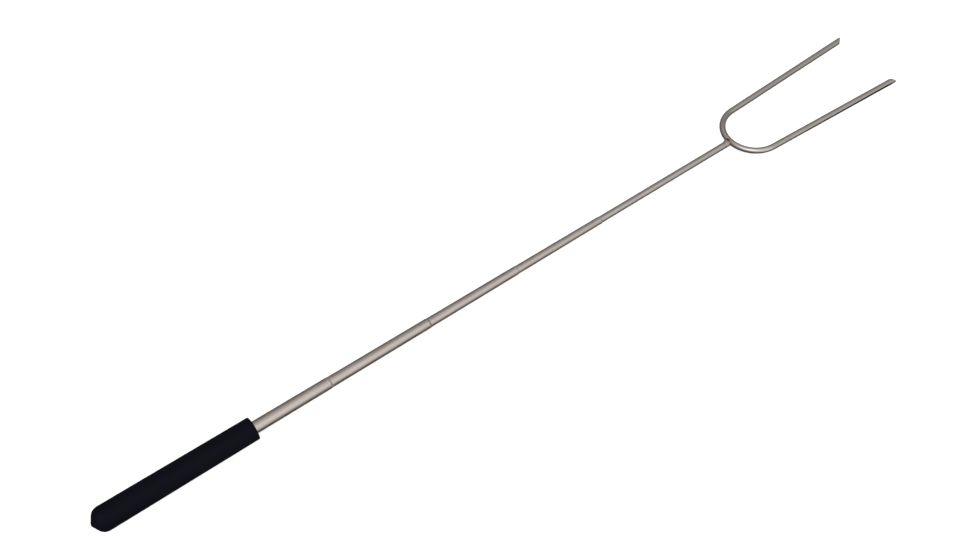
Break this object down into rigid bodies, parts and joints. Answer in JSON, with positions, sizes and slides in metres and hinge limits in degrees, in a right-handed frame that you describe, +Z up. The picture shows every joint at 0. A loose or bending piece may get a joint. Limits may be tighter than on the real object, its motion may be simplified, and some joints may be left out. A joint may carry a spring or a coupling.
{
  "type": "marshmallow roasting fork",
  "caption": "Telescoping roasting fork: a U-shaped wire fork welded to a rod that slides into nested tapered steel tubes held in a black moulded grip.",
  "frame": {"origin": "on the surface the fork lies on, under the middle of its length when it is fully drawn out", "axes": "+X along the shaft from the grip to the tine tips, +Z up from the surface; the shaft's axis leans 0.6 degrees down towards the tips"},
  "size_m": [0.6163, 0.0562, 0.0164],
  "materials": {
    "grip_rubber": "matt black moulded",
    "tube_steel": "satin drawn",
    "rod_steel": "satin drawn",
    "wire_steel": "satin bent wire",
    "weld_steel": "heat tinted weld",
    "plug_plastic": "matt",
    "collar_brass": "plain"
  },
  "bodies": {
    "handle": {"grip_sleeve": "grip_rubber", "outer_tube": "tube_steel", "end_plug": "plug_plastic"},
    "second_section": {"second_tube": "tube_steel"},
    "third_section": {"third_tube": "tube_steel"},
    "fourth_section": {"fourth_tube": "tube_steel"},
    "collar": {"rod_collar": "collar_brass"},
    "fork": {"fork_rod": "rod_steel", "weld_bead": "weld_steel", "fork_prongs": "wire_steel"}
  },
  "joints": [
    {"name": "second_tube_slide", "type": "slide", "parent": "handle", "child": "second_section", "axis": [0.9999, 0, -0.0105], "range_m": [-0.0708, 0]},
    {"name": "third_tube_slide", "type": "slide", "parent": "second_section", "child": "third_section", "axis": [0.9999, 0, -0.0105], "range_m": [-0.0666, 0]},
    {"name": "fourth_tube_slide", "type": "slide", "parent": "third_section", "child": "fourth_section", "axis": [0.9999, 0, -0.0105], "range_m": [-0.0667, 0]},
    {"name": "rod_slide", "type": "slide", "parent": "fourth_section", "child": "collar", "axis": [0.9999, 0, -0.0105], "range_m": [-0.1077, 0]},
    {"name": "fork_twist", "type": "hinge", "parent": "collar", "child": "fork", "pos_m": [0.05288, 0, 0.00475], "axis": [0.9999, 0, -0.0105], "continuous": true}
  ]
}
